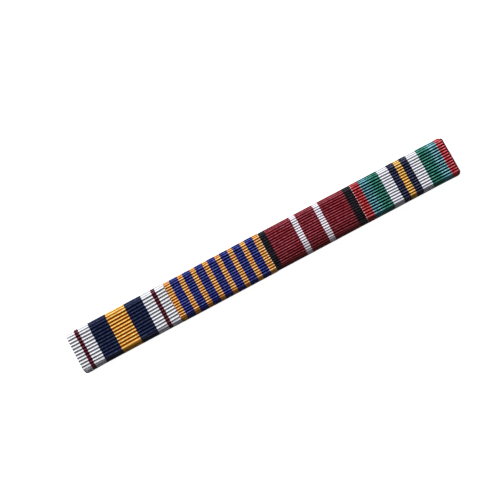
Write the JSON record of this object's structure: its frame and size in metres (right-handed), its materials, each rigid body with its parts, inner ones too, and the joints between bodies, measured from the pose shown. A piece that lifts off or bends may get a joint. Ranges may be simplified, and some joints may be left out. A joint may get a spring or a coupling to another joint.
{
  "type": "ribbon bar",
  "caption": "Flat metal bar wrapped in striped, ribbed medal ribbons side by side, with a brooch pin on the back to fasten it to clothing.",
  "frame": {"origin": "middle of the bar's plan, at the surface that the pin's feet rest on", "axes": "+X along the bar to the viewer's right, +Y to the edge that is uppermost when it is worn, +Z out of the front"},
  "size_m": [0.128, 0.013, 0.0063],
  "materials": {
    "bar_metal": "nickel plated, satin",
    "ribbon_navy": "ribbed silk: white edges, maroon lines, navy, gold middle",
    "ribbon_blue": "ribbed silk: royal blue and gold stripes",
    "ribbon_crimson": "ribbed silk: crimson, two white stripes, black edges",
    "ribbon_green": "ribbed silk: red, teal, green, white, navy and gold stripes",
    "pin_metal": "nickel plated, bright"
  },
  "bodies": {
    "root": {"bar": "bar_metal", "ribbon_navy": "ribbon_navy", "ribbon_blue": "ribbon_blue", "ribbon_crimson": "ribbon_crimson", "ribbon_green": "ribbon_green", "brooch_pin": "pin_metal"}
  },
  "joints": []
}
